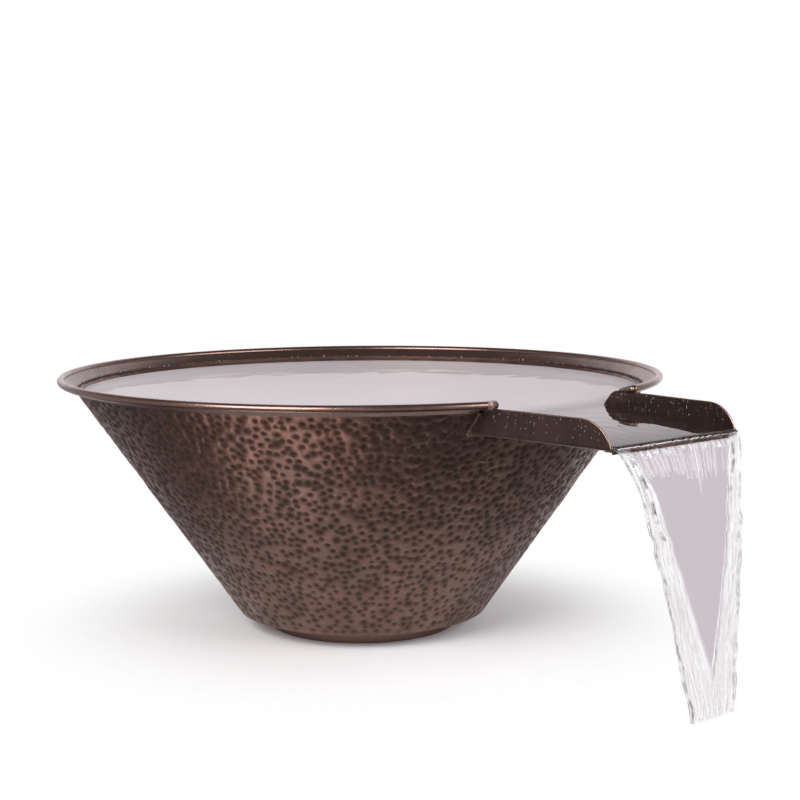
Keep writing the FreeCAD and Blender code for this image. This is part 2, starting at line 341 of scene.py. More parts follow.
def spillway_copper():
    """Darker copper with faint upright water marks, and pale upright flecks: a painted highlight where
    water droplets catch the light.
    """
    p = Paint("spillway_copper")
    x, y, z = p.split(p.place)
    upright = p.join(x, y, p.times(z, 0.28))
    cloud = p.span(p.noise(17.0, 4.0, 0.6), 0.35, 0.7)
    colour = p.mix(cloud, (0.062, 0.038, 0.032), (0.092, 0.054, 0.043))
    marks = p.span(p.noise(60.0, 4.0, 0.62, upright), 0.42, 0.70, 0.0, 0.5)
    colour = p.mix(marks, colour, (0.036, 0.022, 0.019))
    # pale flecks: painted highlights of water droplets on the cheeks
    droplet_glints = p.span(p.noise(330.0, 2.0, 0.55, upright), 0.64, 0.72, 0.0, 0.8)
    droplet_glints = p.times(droplet_glints, p.span(p.noise(40.0, 2.0), 0.42, 0.60))
    colour = p.mix(droplet_glints, colour, (0.34, 0.24, 0.21))
    return lacquered(p, colour, (0.28, 0.42), (60.0, 0.0008, 0.4), 0.3)


def plain(name, light, dark, cloud, gloss, grain, rest):
    """cloud is the scale and detail of the colour's noise, gloss the scale of the finish and its two
    roughnesses, and grain the scale, detail, depth and strength of the bump."""
    p = Paint(name)
    colour = p.mix(p.span(p.noise(*cloud), 0.35, 0.65), light, dark)
    rough = p.span(p.noise(gloss[0], 3.0), 0.3, 0.7, gloss[1], gloss[2])
    normal = p.bump(p.noise(grain[0], grain[1]), grain[2], grain[3])
    return p.finish(Base_Color=colour, Roughness=rough, Normal=normal, **rest)


def bright_copper(name, light, dark):
    return plain(name, light, dark, (70.0, 4.0), (120.0, 0.22, 0.40), (500.0, 3.0, 0.0002, 0.5),
                 {"Metallic": 1.0})


def solder():
    return plain("solder", (0.30, 0.20, 0.17), (0.15, 0.10, 0.09), (150.0, 4.0), (230.0, 0.25, 0.5),
                 (260.0, 3.0, 0.0006, 0.6), {"Metallic": 0.9, "Coat_Weight": 0.2, "Coat_Roughness": 0.3})


def brass():
    return plain("fitting_brass", (0.62, 0.44, 0.20), (0.42, 0.29, 0.13), (60.0, 4.0),
                 (160.0, 0.24, 0.42), (600.0, 3.0, 0.0001, 0.5), {"Metallic": 1.0})


def rubber():
    return plain("gasket_rubber", (0.022, 0.022, 0.023), (0.040, 0.039, 0.038), (300.0, 3.0),
                 (180.0, 0.55, 0.78), (1200.0, 2.0, 0.0001, 0.6), {})


def steel():
    return plain("screw_steel", (0.56, 0.56, 0.57), (0.42, 0.42, 0.43), (200.0, 3.0),
                 (500.0, 0.2, 0.36), (900.0, 2.0, 0.00008, 0.5), {"Metallic": 1.0})


def clear_water(p, ripple, tint):
    height = p.math("ADD", p.times(p.noise(22.0, 2.0), 0.8), p.times(p.noise(140.0, 2.0), 0.2))
    lighter = [min(1.0, c * 1.02) for c in tint]
    colour = p.mix(p.span(p.noise(30.0, 2.0), 0.3, 0.7), tint, lighter)
    return p.shader(Base_Color=colour, Roughness=0.0, IOR=1.33, Transmission_Weight=1.0,
                    Normal=p.bump(height, ripple))


def pool_water():
    """Clear water with a pale matt share mixed in: a painted reflection, the pale sheen of the pool's
    surface.
    """
    p = Paint("water_pool")
    pale = p.mix(p.span(p.noise(9.0, 3.0), 0.35, 0.65), (0.72, 0.675, 0.70), (0.76, 0.72, 0.74))
    painted_sheen = p.times(p.attribute("froth_and_sheen"), p.span(p.noise(14.0, 3.0), 0.3, 0.7, 0.94, 1.0))
    return p.close(p.blend(painted_sheen, clear_water(p, 0.00005, (0.97, 0.96, 0.975)), p.matt(pale)))


def falling_sheet():
    """Clear water, with bright streaks and dark dashes along the ropes of it at either side; the dashes are
    painted shade.
    """
    p = Paint("water_fall")
    streaks = p.span(p.noise(1.0, 3.0, 0.6, p.flow(95.0, 34.0)), 0.38, 0.58, 0.22, 1.0)
    strands = p.span(p.noise(1.0, 2.0, 0.5, p.flow(210.0, 60.0)), 0.34, 0.46, 0.55, 1.0)
    share = p.times(p.attribute("froth_and_sheen"), p.times(streaks, strands))
    through = p.node("ShaderNodeBsdfTransparent", Color=(0.975, 0.98, 0.98, 1)).outputs[0]
    pale = p.mix(p.noise(60.0, 2.0), (0.88, 0.885, 0.885), (0.95, 0.955, 0.955))
    bright = p.blend(0.22, through, p.matt(pale))
    inside = p.blend(share, clear_water(p, 0.00002, (0.985, 0.975, 0.985)), bright)
    # painted shade: dark grey for the lines that refraction draws in the ropes and along the edges
    shade_grey = p.mix(p.noise(120.0, 2.0), (0.030, 0.026, 0.027), (0.16, 0.145, 0.15))
    painted_shade_lines = p.shader(Base_Color=shade_grey, Roughness=0.12, IOR=1.33)
    broken = p.span(p.noise(1.0, 2.0, 0.5, p.flow(60.0, 150.0)), 0.34, 0.44)
    return p.close(p.blend(p.times(p.attribute("stroke"), broken), inside, painted_shade_lines))


def droplet():
    p = Paint("water_droplet")
    # the pale tint on the partly matt drops is a painted highlight, so they read as light flecks
    tint = p.mix(p.noise(90.0, 2.0), (0.36, 0.29, 0.27), (0.60, 0.53, 0.51))
    return p.finish(Base_Color=tint, Roughness=p.span(p.noise(200.0), 0.3, 0.7, 0.02, 0.12), IOR=1.33,
                    Transmission_Weight=0.55, Normal=p.bump(p.noise(400.0), 0.0001, 0.5))


HAMMERED = hammered_copper()
SMOOTH = smooth_copper("smooth_copper", (0.150, 0.094, 0.078), (0.195, 0.112, 0.090), streaks=0.15)
SEAM = smooth_copper("seam_copper", (0.070, 0.044, 0.037), (0.090, 0.054, 0.043),
                     rough=(0.50, 0.62), coat=0.0)
BEAD = smooth_copper("bead_copper", (0.190, 0.118, 0.098), (0.245, 0.145, 0.118), streaks=0.12,
                     rough=(0.20, 0.31))
TRAY = spillway_copper()
# the cheeks' top edges: bright copper as a painted highlight
EDGE_HIGHLIGHT = bright_copper("cut_edge_highlight", (0.40, 0.25, 0.21), (0.24, 0.145, 0.12))
DRIP = bright_copper("drip_copper", (0.13, 0.075, 0.062), (0.055, 0.034, 0.028))
SOLDER = solder()
BRASS = brass()
RUBBER = rubber()
STEEL = steel()
POOL = pool_water()
FALL = falling_sheet()
DROPLET = droplet()

for paint, nodes in ((SMOOTH, "foot_ring rim_flange diffuser_plate"), (BEAD, "rim_bead rim_end_caps"),
                     (HAMMERED, "bowl_floor"), (TRAY, "spillway_tray"), (DRIP, "drip_edge"),
                     (SEAM, "rim_seam"), (SOLDER, "floor_seam foot_seam spillway_seams"),
                     (BRASS, "inlet_bulkhead inlet_locknut inlet_washer diffuser_posts"),
                     (RUBBER, "inlet_gasket"), (STEEL, "diffuser_screws")):
    for node in nodes.split():
        for material_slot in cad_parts[node].material_slots:
            material_slot.material = paint


# ---- the hammered wall ----
PIT_GAP = 6.2 * MM  # closest two hammer marks come
PIT_AREA = 80 * MM * MM  # surface per hammer mark
PIT_SIZE = 5.0 * MM  # radius of a hammer mark
PIT_DEPTH = 1.05 * MM
DEEPEST = 1.05 * MM  # as far in as the outer face may go
MOST_INTO_WATER = 0.1 * MM  # as far out as the inner face may go
SWELL = 0.20 * MM  # how far the sheet itself wanders
EDGE_STEP = 2.6 * MM  # between mesh points along the wall's outline
POINT_GAP = 1.05 * MM  # closest two mesh points come round a mark
TURN = math.pi * SIN  # half the angle of the wall laid flat
WALL_AREA = math.pi * (R_HIGH ** 2 - R_LOW ** 2) / SIN
REACH = R_HIGH / SIN  # of the wall laid flat
SHARPEST = 50  # degrees between faces that still shade as one


def cone_place(flat, lift):
    """From the wall laid flat to the bowl, lifted off the outer face."""
    reach = np.hypot(flat[:, 0], flat[:, 1])
    theta = np.arctan2(flat[:, 1], flat[:, 0]) / SIN
    r = reach * SIN + lift * COS
    z = APEX_Z + reach * COS - lift * SIN
    return np.stack([r * np.cos(theta), r * np.sin(theta), z], axis=1)


def lay_flat(theta, z):
    reach = (z - APEX_Z) / COS
    return np.stack([reach * np.cos(theta * SIN), reach * np.sin(theta * SIN)], axis=1)


def notch_theta(z):
    """Half the angle the spillway takes out of the wall at one height."""
    low, high = 0.0, 1.0
    r = wall_outer(z)
    for _ in range(60):
        middle = (low + high) / 2
        if r * math.sin(middle) < cheek_outer(r * math.cos(middle)):
            low = middle
        else:
            high = middle
    return low


def wall_outline():
    """The wall laid flat: its outline with the spillway's notch."""
    heights = np.linspace(WALL_HIGH, TRAY_LOW, 10)
    side = np.array([notch_theta(z) for z in heights])
    notch_count = int(2 * side[-1] * wall_outer(TRAY_LOW) / EDGE_STEP)
    notch = np.linspace(-side[-1], side[-1], notch_count)[1:-1]
    top = np.linspace(-math.pi, -side[0], int((math.pi - side[0]) * R_HIGH / EDGE_STEP))[:-1]
    low = np.linspace(math.pi, -math.pi, int(2 * math.pi * R_LOW / EDGE_STEP))
    seam_z = np.linspace(WALL_HIGH, WALL_LOW, int((WALL_HIGH - WALL_LOW) / COS / EDGE_STEP))[1:-1]
    seam = np.full(len(seam_z), math.pi)
    theta = np.concatenate([top, -side, notch, side[::-1], -top[::-1], seam, low, -seam])
    z = np.concatenate([np.full(len(top), WALL_HIGH), heights, np.full(len(notch), TRAY_LOW),
                        heights[::-1], np.full(len(top), WALL_HIGH), seam_z,
                        np.full(len(low), WALL_LOW), seam_z[::-1]])
    return lay_flat(theta, z)


def on_cone(flat):
    """Whether a point of the flat sheet is on the wall as it is before the notch is cut."""
    z = APEX_Z + math.hypot(*flat) * COS
    return WALL_LOW < z < WALL_HIGH and abs(math.atan2(flat[1], flat[0])) < TURN


def in_notch(flat):
    reach = math.hypot(*flat)
    if APEX_Z + reach * COS < TRAY_LOW:
        return False
    theta = math.atan2(flat[1], flat[0]) / SIN
    r = reach * SIN
    return abs(r * math.sin(theta)) < cheek_outer(r * math.cos(theta)) and math.cos(theta) > 0


def in_wall(flat):
    return on_cone(flat) and not in_notch(flat)


class Spacing:
    """Points that keep their distance from each other."""

    def __init__(self, gap):
        self.gap = gap
        self.cells = {}

    def take(self, point):
        """Keeps the point if none kept so far is within the gap, and says whether it did."""
        column, row = int(point[0] // self.gap), int(point[1] // self.gap)
        around = [(column + i, row + j) for i in (-1, 0, 1) for j in (-1, 0, 1)]
        near = [q for cell in around for q in self.cells.get(cell, ())]
        if any((q[0] - point[0]) ** 2 + (q[1] - point[1]) ** 2 < self.gap * self.gap for q in near):
            return False
        self.cells.setdefault((column, row), []).append(point)
        return True


def scatter_pits():
    """Hammer marks at random over the flat sheet."""
    wanted = int(WALL_AREA / PIT_AREA)
    spacing = Spacing(PIT_GAP)
    pits = []
    tries = 0
    while len(pits) < wanted and tries < 40 * wanted:
        tries += 1
        point = random.uniform((-REACH, -REACH), (REACH, REACH))
        if on_cone(point) and spacing.take(point):
            pits.append(point)
    return np.array([p for p in pits if not in_notch(p)])


def thin_out(points, first, gap):
    """The points from number first on that are at least the gap from every point kept before them."""
    spacing = Spacing(gap)
    taken = [spacing.take(point) for point in points]
    return points[first:][taken[first:]]


def wall_points(outline, pits, rings, filler_gap):
    """Mesh points laid out in rings round each hammer mark, with a looser filling between."""
    layers = [pits]
    for radius, count in rings:
        turn = random.uniform(0, 2 * math.pi, (len(pits), 1)) + np.arange(count) * 2 * math.pi / count
        ring = pits[:, None, :] + radius * np.stack([np.cos(turn), np.sin(turn)], axis=-1)
        layers.append(ring.reshape(-1, 2))
    line = np.arange(-REACH, REACH, filler_gap)
    filler = np.stack(np.meshgrid(line, line, indexing="ij"), axis=-1).reshape(-1, 2)
    filler = filler + random.uniform(-0.3, 0.3, (len(filler), 2)) * filler_gap
    marks, loose = [part[[in_wall(p) for p in part]] for part in (np.concatenate(layers), filler)]
    kept = thin_out(np.concatenate([outline, marks]), len(outline), POINT_GAP)
    body = np.concatenate([outline, kept])
    more = thin_out(np.concatenate([body, loose]), len(body), 0.62 * filler_gap)
    return np.concatenate([kept, more])


def triangulate(outline, inner):
    """Triangles over the inside of the outline; its points come first and keep their order."""
    points = [Vector(p) for p in np.concatenate([outline, inner])]
    count = len(outline)
    edges = [(i, (i + 1) % count) for i in range(count)]
    made = delaunay_2d_cdt(points, edges, [], 1, 1e-7)
    return np.array([tuple(p) for p in made[0]]), made[2]


def pit_field(places, pit_places, sizes, depths):
    """How deep and how dark the hammering is at each place."""
    tree = kdtree.KDTree(len(places))
    for i, place in enumerate(places):
        tree.insert(place, i)
    tree.balance()
    depth = np.zeros(len(places))
    dark = np.zeros(len(places))
    for place, size, deep in zip(pit_places, sizes, depths):
        for _, i, distance in tree.find_range(place, size * 1.7):
            t = distance / size
            bowl = deep * (0.5 + 0.5 * math.cos(math.pi * min(1.0, t)))
            raised = 0.10 * deep * math.exp(-((t - 1.15) / 0.22) ** 2)
            depth[i] = min(depth[i], -bowl) if t < 1 else depth[i] + raised
            dark[i] = max(dark[i], 1 - smooth(0.15, 1.0, t))
    return depth, dark


def calm_edges(places):
    """0 along the wall's edges and round the notch, where it meets its neighbours, and 1 away from them."""
    z = places[:, 2]
    calm = smooth(0, 5 * MM, z - WALL_LOW) * smooth(0, 3 * MM, WALL_HIGH - z)
    beside = np.maximum(0, np.abs(places[:, 1]) - cheek_outer(places[:, 0]))
    notch = np.hypot(beside, np.maximum(0, TRAY_LOW - z))
    near_notch = (places[:, 0] > 0) & (notch < 4 * MM) & (z > TRAY_LOW - 4 * MM)
    return np.where(near_notch, calm * smooth(0, 4 * MM, notch), calm)


def hammered_skin(outline, pits, pit_places, sizes, depths, rings, filler_gap, swell, inner):
    """One face of the sheet: its points, its triangles and how dark each point is."""
    flat, faces = triangulate(outline, wall_points(outline, pits, rings, filler_gap))
    places = cone_place(flat, np.zeros(len(flat)))
    deep, dark = pit_field(places, pit_places, sizes, depths)
    calm = calm_edges(places)
    theta = np.arctan2(places[:, 1], places[:, 0])
    wander = SWELL * swell(theta * 0.25, places[:, 2]) * smooth(math.pi, math.pi - 0.15, np.abs(theta))
    lift = (deep + wander) * calm
    lift = -SHEET + np.minimum(lift, MOST_INTO_WATER) if inner else np.maximum(lift, -DEEPEST)
    return cone_place(flat, lift), faces, dark * np.maximum(calm, 0.35)


def build_wall():
    """The wall as one closed mesh: both faces of the sheet and the edges between them."""
    outline = wall_outline()
    pits = scatter_pits()
    sizes = PIT_SIZE * np.exp(random.normal(0, 0.17, len(pits)))
    depths = PIT_DEPTH * np.exp(random.normal(0, 0.25, len(pits)))
    marks = (outline, pits, cone_place(pits, np.zeros(len(pits))))
    swell = Waves(5, 40, 22 * MM, 110 * MM)
    outside, faces, dark = hammered_skin(*marks, sizes, depths, ((1.9 * MM, 5), (3.9 * MM, 9)),
                                         3.0 * MM, swell, inner=False)
    inside, more, _ = hammered_skin(*marks, sizes * 1.25, depths * 0.7, ((3.2 * MM, 4),),
                                    6.5 * MM, swell, inner=True)
    count = len(outline)
    shift = len(outside)
    faces = [list(face) for face in faces] + [[i + shift for i in face] for face in more]
    theta = np.arctan2(outline[:, 1], outline[:, 0]) / SIN
    on_seam = np.abs(np.abs(theta) - math.pi) < 1e-6
    for i in range(count):
        j = (i + 1) % count
        if not (on_seam[i] and on_seam[j] and theta[i] * theta[j] > 0):
            faces.append([i, i + shift, j + shift, j])
    made = piece("hammered_wall", np.concatenate([outside, inside]), faces, [HAMMERED],
                 "hammered_copper", ("bowl_wall",), SHARPEST)
    store(made, "pit", np.concatenate([dark, np.zeros(len(inside))]))
    face_outwards(made, weld_behind=True)
    made.data.shade_smooth()
    made.data.set_sharp_from_angle(angle=math.radians(SHARPEST))


build_wall()


# ---- the water ----
LEVEL = TRAY_FLOOR + 14.2 * MM  # surface of the pool
ROOT_DEPTH = 8.6 * MM  # water over the spillway's floor where it leaves the bowl
LIP_DEPTH = 3.0 * MM
THROW = 4.3 * MM  # the flow's critical depth, which sets its speed over the lip
POOL_SHEEN = 0.74  # how much of the pool's colour is its pale matt share, a painted reflection
SUNK = 0.35 * MM  # how far the water's hidden faces lie inside the copper
FALL_LOW = 1.6 * MM  # where the falling water ends
FALL_TOP = TRAY_FLOOR + LIP_DEPTH / 2
FULL_DROP = FALL_TOP - FALL_LOW - 0.6 * MM
ROWS = 130  # levels of the falling water
ACROSS = 151  # points across it
RADIAL = 52  # rings of points in the pool
SHARE = np.linspace(-1, 1, ACROSS)  # place across the falling water, from side to side
SIDE = np.where(SHARE < 0, -1, 1)
DROPS = FULL_DROP * (np.arange(1, ROWS + 1) / ROWS) ** 1.5

RIPPLE = Waves(11, 30, 28 * MM, 75 * MM)
CHOP = Waves(12, 40, 12 * MM, 26 * MM)
WOBBLE = Waves(21, 14, 25 * MM, 90 * MM)
FAN = Waves(51, 26, 0.035, 0.16)
RAGGED = Waves(52, 40, 5 * MM, 16 * MM)
BREAKS = Waves(53, 24, 6 * MM, 34 * MM)
FRILL = Waves(54, 30, 7 * MM, 24 * MM)
PLEATS = Waves(55, 30, 10 * MM, 40 * MM)
STRANDS = [(share, side, Waves(30 + 2 * k + (side > 0), 8, 60 * MM, 200 * MM),
            Waves(60 + 2 * k + (side > 0), 8, 14 * MM, 60 * MM))
           for k, share in enumerate((0.05, 0.17, 0.30, 0.43, 0.57, 0.72, 0.88)) for side in (-1, 1)]


def fall_half(drop):
    """Half the width of the falling water, which narrows as it falls."""
    table = np.array([(0, 80.6), (3, 79.2), (12, 75.4), (30, 68.5), (61, 60.0), (90, 54.0), (116, 49.5),
                      (150, 42.8), (190, 35.0), (215, 30.0), (240, 26.0)]) * MM
    return np.interp(drop, table[:, 0], table[:, 1])


def rope_width(drop):
    """How wide the ropes of water at its sides are."""
    table = np.array([(0, 13.0), (10, 14.5), (30, 16.0), (75, 18.0), (140, 25.0), (190, 31.5), (202, 33.5),
                      (240, 27.0)]) * MM
    return np.interp(drop, table[:, 0], table[:, 1])


def water_surface(x, y):
    """Height of the pool and of the film on the spillway."""
    run = np.clip((x - 262 * MM) / (LIP_X - 262 * MM), 0, 1)
    aside = smooth(150 * MM, 100 * MM, np.abs(y))
    z = LEVEL - (LEVEL - TRAY_FLOOR - ROOT_DEPTH) * smooth(165 * MM, 272 * MM, x) * aside
    z = z - (ROOT_DEPTH - LIP_DEPTH) * run ** 3.6
    channel = smooth(240 * MM, 310 * MM, x)
    waves = RIPPLE(x, y) * (0.030 + 0.020 * channel) + CHOP(x * 0.6, y * 1.4) * 0.016 * channel
    return z + waves * MM


def bowl_inside(x, y):
    z = WALL_LOW + (np.hypot(x, y) + LEVEL_THICK - R_LOW) / SLOPE
    return np.maximum(z, FLOOR_TOP) - SUNK


def water_rim():
    """Headings round the bowl, the lip's first, and how far the water reaches along each."""
    lip_y = SHARE * fall_half(0.0)
    lip_angle = np.arctan2(lip_y, LIP_X)
    beside = 0.42  # heading past the spillway's root, where the points spread out
    angle = np.concatenate([lip_angle, np.linspace(lip_angle[-1], beside, 36)[1:],
                            np.linspace(beside, 2 * math.pi - beside, 200)[1:],
                            np.linspace(-beside, lip_angle[0], 36)[1:-1]])
    cos = np.cos(angle)
    ahead = np.abs(np.arctan2(np.sin(angle), cos))
    cheek = (LIP_HALF - 0.8 * MM + FLARE * LIP_X) / np.maximum(1e-3, np.sin(ahead) + FLARE * cos)
    lip = np.where(cos > 0.1, LIP_X / np.maximum(0.1, cos), 9.0)
    pool = np.full(len(angle), wall_inner(LEVEL))
    for _ in range(8):
        pool = wall_inner(water_surface(pool * cos, pool * np.sin(angle))) + 0.3 * MM
    reach = np.maximum(pool, np.where(ahead < 0.5, np.minimum(cheek, lip), 0.0))
    reach[:ACROSS] = np.hypot(LIP_X, lip_y)
    return angle, reach


def film_thickness(drop, y, from_edge, width):
    """The falling sheet's film, with its faint folds, and the strands in the ropes beside it."""
    grow = 2.4 * MM + 1.6 * MM * smooth(0, 90 * MM, drop) + 1.6 * MM * smooth(120 * MM, 220 * MM, drop)
    rope = np.zeros(ACROSS)
    for share, side, wander, beads in STRANDS:
        middle = width * (share + 0.075 * wander(0.0, drop))
        wide = width * (0.085 + 0.02 * wander(1.0, drop))
        tall = grow * (1.0 - 0.45 * share) * (1 + 0.16 * beads(0.0, drop))
        shape = np.sqrt(np.clip(1 - ((from_edge - middle) / wide) ** 2, 0, 1))
        rope = np.maximum(rope, np.where(SIDE == side, tall * shape, 0))
    in_rope = smooth(width * 1.15, width * 0.85, from_edge)
    folds = (0.045 * smooth(260 * MM, 10 * MM, drop) + 0.075 * smooth(75 * MM, 8 * MM, drop)) * MM
    folds = folds * FAN(SHARE * (1 + 0.3 * drop / FULL_DROP), drop * 0.12)
    folds = folds + 0.060 * MM * PLEATS(y, drop * 0.6) * smooth(110 * MM, 12 * MM, drop)
    thin = max(0.55 * MM, LIP_DEPTH / math.sqrt(1 + 2 * drop / THROW))
    film = thin + folds * (1 - in_rope) + 0.45 * grow * in_rope * smooth(0, 20 * MM, drop)
    to_nothing = np.sqrt(np.clip(from_edge / (1.2 * MM), 0, 1))
    return np.maximum(film, rope) * np.maximum(to_nothing, 0.04)


def fall_froth_and_highlight(drop, from_edge, width):
    """How white the falling water is: the froth of its ropes, and a ragged brim just under the lip, which
    is a painted highlight.
    """
    # the brim: a painted highlight of white ragged glints just under the lip
    brim_highlight = smooth(4.2 * MM, 5.8 * MM, drop) * smooth(13 * MM, 7 * MM, drop)
    brim_highlight = brim_highlight * np.clip(0.45 + 0.75 * RAGGED(SHARE * fall_half(0.0), drop * 0.8), 0, 1)
    return np.maximum(smooth(width * 1.22, width * 0.86, from_edge) * smooth(0, 5 * MM, drop), brim_highlight)


def fall_stroke(drop, from_edge, width):
    """How much painted shade the falling water gets: broken dark dashes in its ropes, and along its edges.
    """
    dash = np.clip(0.9 * BREAKS(SIDE * 0.2, drop) + 0.55, 0, 1) * smooth(6 * MM, 10 * MM, drop)
    dash = dash * np.where(SIDE > 0, smooth(60 * MM, 40 * MM, drop), smooth(95 * MM, 70 * MM, drop))
    middle = width * (np.where(SIDE > 0, 0.80, 0.66) + 0.05 * WOBBLE(SIDE * 0.7, drop))
    dash = dash * np.exp(-((from_edge - middle) / (1.1 * MM)) ** 2)
    edge = 0.75 * np.exp(-((from_edge - 0.7 * MM) / (0.6 * MM)) ** 2)
    edge = edge * np.clip(0.5 + 0.6 * BREAKS(SIDE * 0.9, drop), 0, 1)
    return np.clip(dash + edge, 0, 1)


def fall_row(drop):
    """One level of the falling water: its front, its back, its froth with its painted highlight, and its
    dark strokes of painted shade.
    """
    half = fall_half(drop)
    width = rope_width(drop)
    edge_wave = 1 + 0.020 * smooth(10 * MM, 60 * MM, drop) * WOBBLE(SIDE * 0.3, drop)
    edge_wave = edge_wave + 0.009 * smooth(20 * MM, 80 * MM, drop) * FRILL(SIDE * 0.3, drop)
    y = SHARE * half * edge_wave
    from_edge = (1 - np.abs(SHARE)) * half
    thick = film_thickness(drop, y, from_edge, width)
    steep = math.sqrt(2 * drop / THROW)
    nx, nz = steep / math.hypot(1, steep), 1 / math.hypot(1, steep)
    bow = 1.2 * MM * np.sin(SHARE * 2.2 + 1.3) * smooth(20 * MM, 120 * MM, drop)
    x = LIP_X + math.sqrt(2 * THROW * drop) + bow
    z = FALL_TOP - drop
    front, back = [np.stack([x + nx * lift, y, z + nz * lift], axis=1) for lift in (thick / 2, -thick / 2)]
    return front, back, fall_froth_and_highlight(drop, from_edge, width), fall_stroke(drop, from_edge, width)


def build_water():
    """The pool, the film on the spillway and the falling water, as one closed mesh."""
    angle, reach = water_rim()
    count = len(angle)
    steps = 1 - (1 - np.linspace(0, 1, RADIAL + 1)[1:]) ** 1.25
    x = steps[:, None] * reach * np.cos(angle)
    y = steps[:, None] * reach * np.sin(angle)
    top = water_surface(x, y)
    in_channel = (x > TRAY_BACK_X) & (np.abs(y) < cheek_outer(x) - 0.2 * MM)
    bottom = bowl_inside(x, y)
    bottom = np.where(in_channel, np.minimum(bottom, TRAY_FLOOR - SUNK), bottom)
    bottom = np.minimum(bottom, top - 0.15 * MM)
    front, back, froth_and_sheen, stroke = [np.array(rows) for rows in zip(*[fall_row(drop) for drop in DROPS])]

    middle = np.array([(0, 0, LEVEL), (0, 0, FLOOR_TOP - SUNK)])
    pool_points = [np.stack([x, y, z], axis=-1).reshape(-1, 3) for z in (top, bottom)]
    points = np.concatenate([middle, *pool_points, front.reshape(-1, 3), back.reshape(-1, 3)])
    still = np.zeros(2 + 2 * RADIAL * count)

    surface = np.arange(RADIAL * count).reshape(RADIAL, count) + 2
    bed = surface + RADIAL * count
    sheet = np.arange(ROWS * ACROSS).reshape(ROWS, ACROSS) + len(still)
    front_index = np.concatenate([surface[-1:, :ACROSS], sheet])
    back_index = np.concatenate([bed[-1:, :ACROSS], sheet + ROWS * ACROSS])
    pool = grid_faces(all_round(surface)) + backwards(grid_faces(all_round(bed)))
    pool += fan(0, surface[0]) + backwards(fan(1, bed[0]))
    pool += strip(all_round(surface)[-1, ACROSS - 1:], all_round(bed)[-1, ACROSS - 1:])
    fall = grid_faces(front_index) + backwards(grid_faces(back_index))
    fall += strip(front_index[:, 0], back_index[:, 0])
    fall += backwards(strip(front_index[:, -1], back_index[:, -1]))
    fall += strip(front_index[-1], back_index[-1])

    made = piece("running_water", points, pool + fall, [POOL, FALL], "water", ("falling_water",), 75,
                 [0] * len(pool) + [1] * len(fall))
    made.visible_shadow = False
    # the pool's painted reflection, fading out towards the spillway
    cloud = POOL_SHEEN * smooth(262 * MM, 215 * MM, x - 0.45 * np.maximum(0, -y)).ravel()
    store(made, "froth_and_sheen", np.concatenate([[POOL_SHEEN] * 2, cloud, cloud, np.tile(froth_and_sheen.ravel(), 2)]))
    store(made, "stroke", np.concatenate([still, np.tile(stroke.ravel(), 2)]))
    store(made, "share", np.concatenate([still, np.tile(SHARE, 2 * ROWS)]))
    store(made, "drop", np.concatenate([still, np.tile(np.repeat(DROPS, ACROSS), 2)]))
    face_outwards(made)


build_water()


# ---- painted highlights along the cheeks' top edges, solder and droplets ----
CORNER_X = 263 * MM  # where a cheek's top edge starts to fall towards the bowl
DROPLETS_PER_FACE = 54
DROPLET_SIDES = 8
RIM_END = 0.34  # heading of the rolled rim's cut ends


def tube(path, radii, aside, sides=10):
    """Points and faces of a closed tube along a path. aside is never parallel to the path."""
    radii = np.asarray(radii)[:, None, None]
    along = np.gradient(path, axis=0)
    first = np.cross(along, aside)
    first = first / np.linalg.norm(first, axis=1)[:, None]
    second = np.cross(along, first)
    second = second / np.linalg.norm(second, axis=1)[:, None]
    turn = np.linspace(0, 2 * math.pi, sides, endpoint=False)[None, :, None]
    ring = path[:, None, :] + radii * (np.cos(turn) * first[:, None, :] + np.sin(turn) * second[:, None, :])
    points = list(ring.reshape(-1, 3)) + [path[0], path[-1]]
    last = len(path) * sides
    return points, shell(np.arange(last).reshape(len(path), sides), last, last + 1)


def gather(parts):
    """Joins lists of points and faces into one."""
    points = []
    faces = []
    for more, their_faces in parts:
        faces += [[i + len(points) for i in face] for face in their_faces]
        points += more
    return points, faces


def resample(path, step):
    """The same path with points evenly spaced along it."""
    path = np.asarray(path)
    run = np.concatenate([[0], np.cumsum(np.linalg.norm(np.diff(path, axis=0), axis=1))])
    at = np.linspace(0, run[-1], max(2, int(run[-1] / step)))
    return np.stack([np.interp(at, run, path[:, k]) for k in range(3)], axis=1)


def closed_ends(run, start, end):
    """A tube's radius along its run, from 0 to 1, is multiplied by this to round its ends."""
    return np.sqrt(np.clip(np.minimum(run / start, (1 - run) / end), 0.02, 1))


def cheek_top_line(side):
    """The top edge of one cheek, from the bowl out to the lip."""
    outer = tray[np.abs(np.abs(tray[:, 1]) - cheek_outer(tray[:, 0])) < 0.05 * MM]
    outer = outer[outer[:, 2] > TRAY_FLOOR + 1.0 * MM]
    line = {}
    for x, _, z in outer:
        key = round(x / (0.4 * MM))
        if key not in line or z > line[key][1]:
            line[key] = (x, z)
    line = np.array([line[key] for key in sorted(line)])
    return np.stack([line[:, 0], side * (cheek_outer(line[:, 0]) - SHEET / 2), line[:, 1]], axis=1)


def build_edge_highlights():
    """Bright copper along the top of each cheek: a painted highlight, where the edge catches the light."""
    parts = []
    for side in (-1, 1):
        path = resample(cheek_top_line(side), 2.0 * MM)
        edge_wobble = Waves(70 + side, 20, 5 * MM, 30 * MM)(path[:, 0], path[:, 2])
        parts.append(tube(path, (0.80 + 0.05 * edge_wobble) * MM, (0, 1, 0)))
    piece("cheek_edge_highlights", *gather(parts), [EDGE_HIGHLIGHT], "spillway_copper", angle=60)


